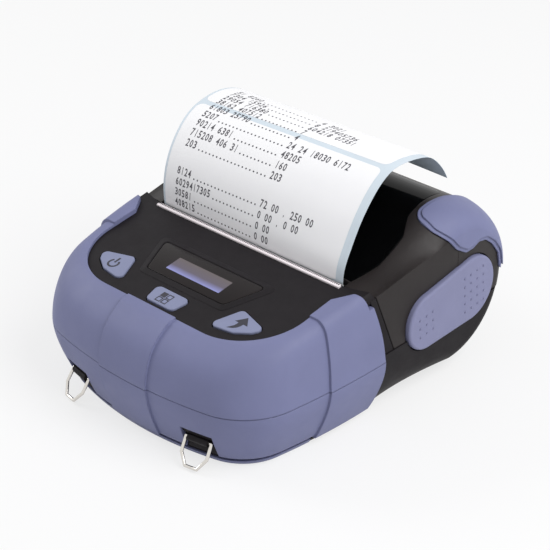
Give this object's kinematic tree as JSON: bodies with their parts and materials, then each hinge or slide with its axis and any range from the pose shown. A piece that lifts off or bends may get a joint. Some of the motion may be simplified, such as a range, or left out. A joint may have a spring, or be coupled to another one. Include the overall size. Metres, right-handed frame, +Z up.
{
  "type": "portable label printer",
  "caption": "Compact portable label printer with rubber bumpers, a small display, keys, strap rings and a hinged lid over its paper roll.",
  "frame": {"origin": "middle of the footprint on the surface that the feet stand on", "axes": "+Z up, -Y towards the front with the keys, +X towards the right side"},
  "size_m": [0.1088, 0.1307, 0.0797],
  "materials": {
    "casing": "fine matte texture",
    "shoulder": "fine matte texture",
    "bumper": "matte blue-grey moulded rubber",
    "key": "matte pale blue-grey moulded rubber",
    "tear_edge": "satin",
    "gloss_black": "polished",
    "display_cover": "polished",
    "display": "satin",
    "board": "solder mask",
    "electronic": "satin",
    "nickel": "bright",
    "steel": "brushed",
    "sheet_steel": "zinc plated",
    "aluminium": "satin",
    "gear": "moulded",
    "platen": "smooth",
    "foot": "smooth",
    "paper": "coated paper",
    "card": "card tube",
    "brass": "plain"
  },
  "bodies": {
    "base": {"base_casing": "casing", "base_bumper": "bumper", "front_cover": "casing", "front_bumper": "bumper", "display_window": "display_cover", "display_module": "display", "key_board": "board", "tact_switches": "electronic", "main_board": "board", "board_parts": "electronic", "ports": "steel", "battery_pack": "electronic", "battery_contacts": "brass", "mechanism_frame": "sheet_steel", "stepper_motor": "steel", "tear_bar": "tear_edge", "hinge_pins": "steel", "rubber_feet": "foot", "base_screws": "steel", "ring_brackets": "casing", "head_springs": "steel", "left_pad_spring": "steel", "right_pad_spring": "steel", "left_holder_spring": "steel", "right_holder_spring": "steel", "paper_web": "paper"},
    "lid": {"lid_shell": "shoulder", "lid_window": "gloss_black", "left_corner_bumper": "bumper", "right_corner_bumper": "bumper", "platen_carrier": "sheet_steel", "platen_bushes": "gear", "paper_strip": "paper"},
    "platen": {"platen_rubber": "platen", "platen_shaft": "steel", "platen_gear": "gear"},
    "idler": {"idler_gear": "gear"},
    "pinion": {"motor_pinion": "brass"},
    "head": {"print_head": "gloss_black", "head_heatsink": "aluminium"},
    "roll": {"paper_roll": "paper", "roll_core": "card"},
    "left_holder": {"left_roll_holder": "casing"},
    "right_holder": {"right_roll_holder": "casing"},
    "left_pad": {"left_release_pad": "bumper", "left_pad_slider": "casing"},
    "right_pad": {"right_release_pad": "bumper", "right_pad_slider": "casing"},
    "door": {"battery_door": "casing"},
    "flap": {"port_cover": "bumper"},
    "left_strap_ring": {"left_ring": "nickel"},
    "right_strap_ring": {"right_ring": "nickel"},
    "power": {"power_key": "key"},
    "menu": {"menu_key": "key"},
    "feed": {"feed_key": "key"}
  },
  "joints": [
    {"name": "lid_hinge", "type": "hinge", "parent": "base", "child": "lid", "pos_m": [0, 0.0626, 0.0254], "axis": [-1, 0, 0], "range_deg": [0, 95]},
    {"name": "platen_spin", "type": "hinge", "parent": "lid", "child": "platen", "pos_m": [0, -0.0019, 0.0401], "axis": [1, 0, 0], "continuous": true},
    {"name": "idler_spin", "type": "hinge", "parent": "base", "child": "idler", "pos_m": [0, -0.00436, 0.0293], "axis": [1, 0, 0], "continuous": true},
    {"name": "pinion_spin", "type": "hinge", "parent": "base", "child": "pinion", "pos_m": [0, -0.00781, 0.01982], "axis": [1, 0, 0], "continuous": true},
    {"name": "head_swing", "type": "hinge", "parent": "base", "child": "head", "pos_m": [0, -0.01016, 0.0295], "axis": [1, 0, 0], "range_deg": [0, 2.5], "stiffness_Nm_per_rad": 0.6, "springref_deg": -1.15, "deforming": ["head_springs"]},
    {"name": "roll_spin", "type": "hinge", "parent": "base", "child": "roll", "pos_m": [0, 0.034, 0.0306], "axis": [1, 0, 0], "continuous": true},
    {"name": "left_holder_slide", "type": "slide", "parent": "base", "child": "left_holder", "axis": [-1, 0, 0], "range_m": [0, 0.003], "stiffness_N_per_m": 150, "springref_m": -0.002, "deforming": ["left_holder_spring"]},
    {"name": "right_holder_slide", "type": "slide", "parent": "base", "child": "right_holder", "axis": [1, 0, 0], "range_m": [0, 0.003], "stiffness_N_per_m": 150, "springref_m": -0.002, "deforming": ["right_holder_spring"]},
    {"name": "left_pad_press", "type": "slide", "parent": "base", "child": "left_pad", "axis": [1, 0, 0], "range_m": [0, 0.0018], "stiffness_N_per_m": 600, "springref_m": -0.001, "deforming": ["left_pad_spring"]},
    {"name": "right_pad_press", "type": "slide", "parent": "base", "child": "right_pad", "axis": [-1, 0, 0], "range_m": [0, 0.0018], "stiffness_N_per_m": 600, "springref_m": -0.001, "deforming": ["right_pad_spring"]},
    {"name": "door_slide", "type": "slide", "parent": "base", "child": "door", "axis": [0, 1, 0], "range_m": [0, 0.006]},
    {"name": "flap_hinge", "type": "hinge", "parent": "base", "child": "flap", "pos_m": [-0.0527, -0.01725, 0.0264], "axis": [0, -1, 0], "range_deg": [0, 100]},
    {"name": "left_ring_swing", "type": "hinge", "parent": "base", "child": "left_strap_ring", "pos_m": [-0.0272, -0.0585, 0.009], "axis": [-0.9833, 0.1822, 0], "range_deg": [0, 55]},
    {"name": "right_ring_swing", "type": "hinge", "parent": "base", "child": "right_strap_ring", "pos_m": [0.0272, -0.0585, 0.009], "axis": [-0.9833, -0.1822, 0], "range_deg": [0, 55]},
    {"name": "power_key_press", "type": "slide", "parent": "base", "child": "power", "axis": [0, 0.1513, -0.9885], "range_m": [0, 0.0008], "stiffness_N_per_m": 300, "springref_m": -0.0005},
    {"name": "menu_key_press", "type": "slide", "parent": "base", "child": "menu", "axis": [0, 0.1513, -0.9885], "range_m": [0, 0.0008], "stiffness_N_per_m": 300, "springref_m": -0.0005},
    {"name": "feed_key_press", "type": "slide", "parent": "base", "child": "feed", "axis": [0, 0.1513, -0.9885], "range_m": [0, 0.0008], "stiffness_N_per_m": 300, "springref_m": -0.0005}
  ],
  "couplings": [
    {"joint": "idler_spin", "follows": "platen_spin", "ratio": -0.57143},
    {"joint": "pinion_spin", "follows": "platen_spin", "ratio": 1.3333}
  ]
}
